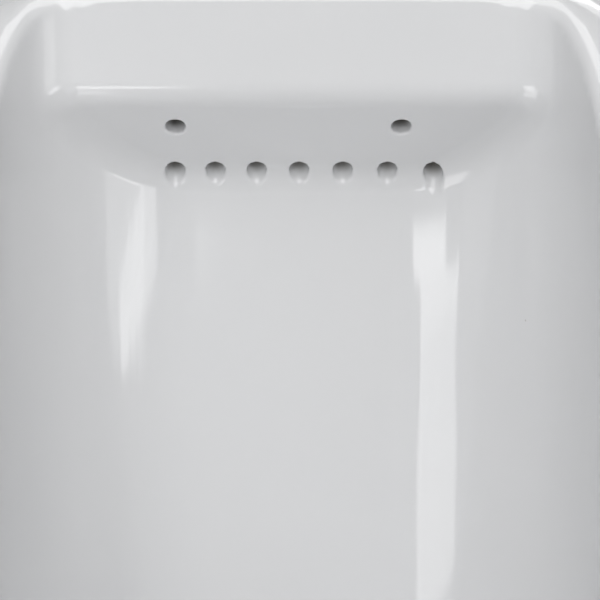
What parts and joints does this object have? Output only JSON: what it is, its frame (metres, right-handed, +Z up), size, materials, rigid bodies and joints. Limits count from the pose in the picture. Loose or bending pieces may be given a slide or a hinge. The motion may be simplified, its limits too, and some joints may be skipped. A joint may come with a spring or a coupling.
{
  "type": "wall-hung urinal",
  "caption": "Wall-hung china washdown urinal with a built-in flush box, drilled wash holes, trap, strainer, inlet spud, outlet flange and wall hangers.",
  "frame": {"origin": "centre of the outlet in the wall plane, on the outlet flange's axis", "axes": "+X to the right as one faces the urinal, +Y into the wall, +Z up"},
  "size_m": [0.36, 0.395, 0.666],
  "materials": {
    "china_glaze": "glossy white glaze over cast vitreous china",
    "plated_brass": "chrome-plated brass",
    "raw_brass": "cast and machined brass",
    "stainless": "brushed stainless steel",
    "zinc_steel": "zinc-plated steel",
    "black_rubber": "moulded black rubber"
  },
  "bodies": {
    "urinal": {"china_body": "china_glaze", "flush_spud": "plated_brass", "spud_gasket": "black_rubber", "spud_friction_ring": "zinc_steel", "spud_locknut": "plated_brass", "outlet_flange": "raw_brass", "outlet_gasket": "black_rubber", "outlet_bolts": "zinc_steel", "outlet_washers": "zinc_steel", "outlet_nuts": "zinc_steel", "hanger_left": "zinc_steel", "hanger_right": "zinc_steel", "hanger_screws": "zinc_steel", "hanger_washers": "zinc_steel"},
    "strainer": {"strainer": "stainless"}
  },
  "joints": [
    {"name": "strainer_lift", "type": "slide", "parent": "urinal", "child": "strainer", "axis": [0, 0, 1], "range_m": [0, 0.12]}
  ]
}
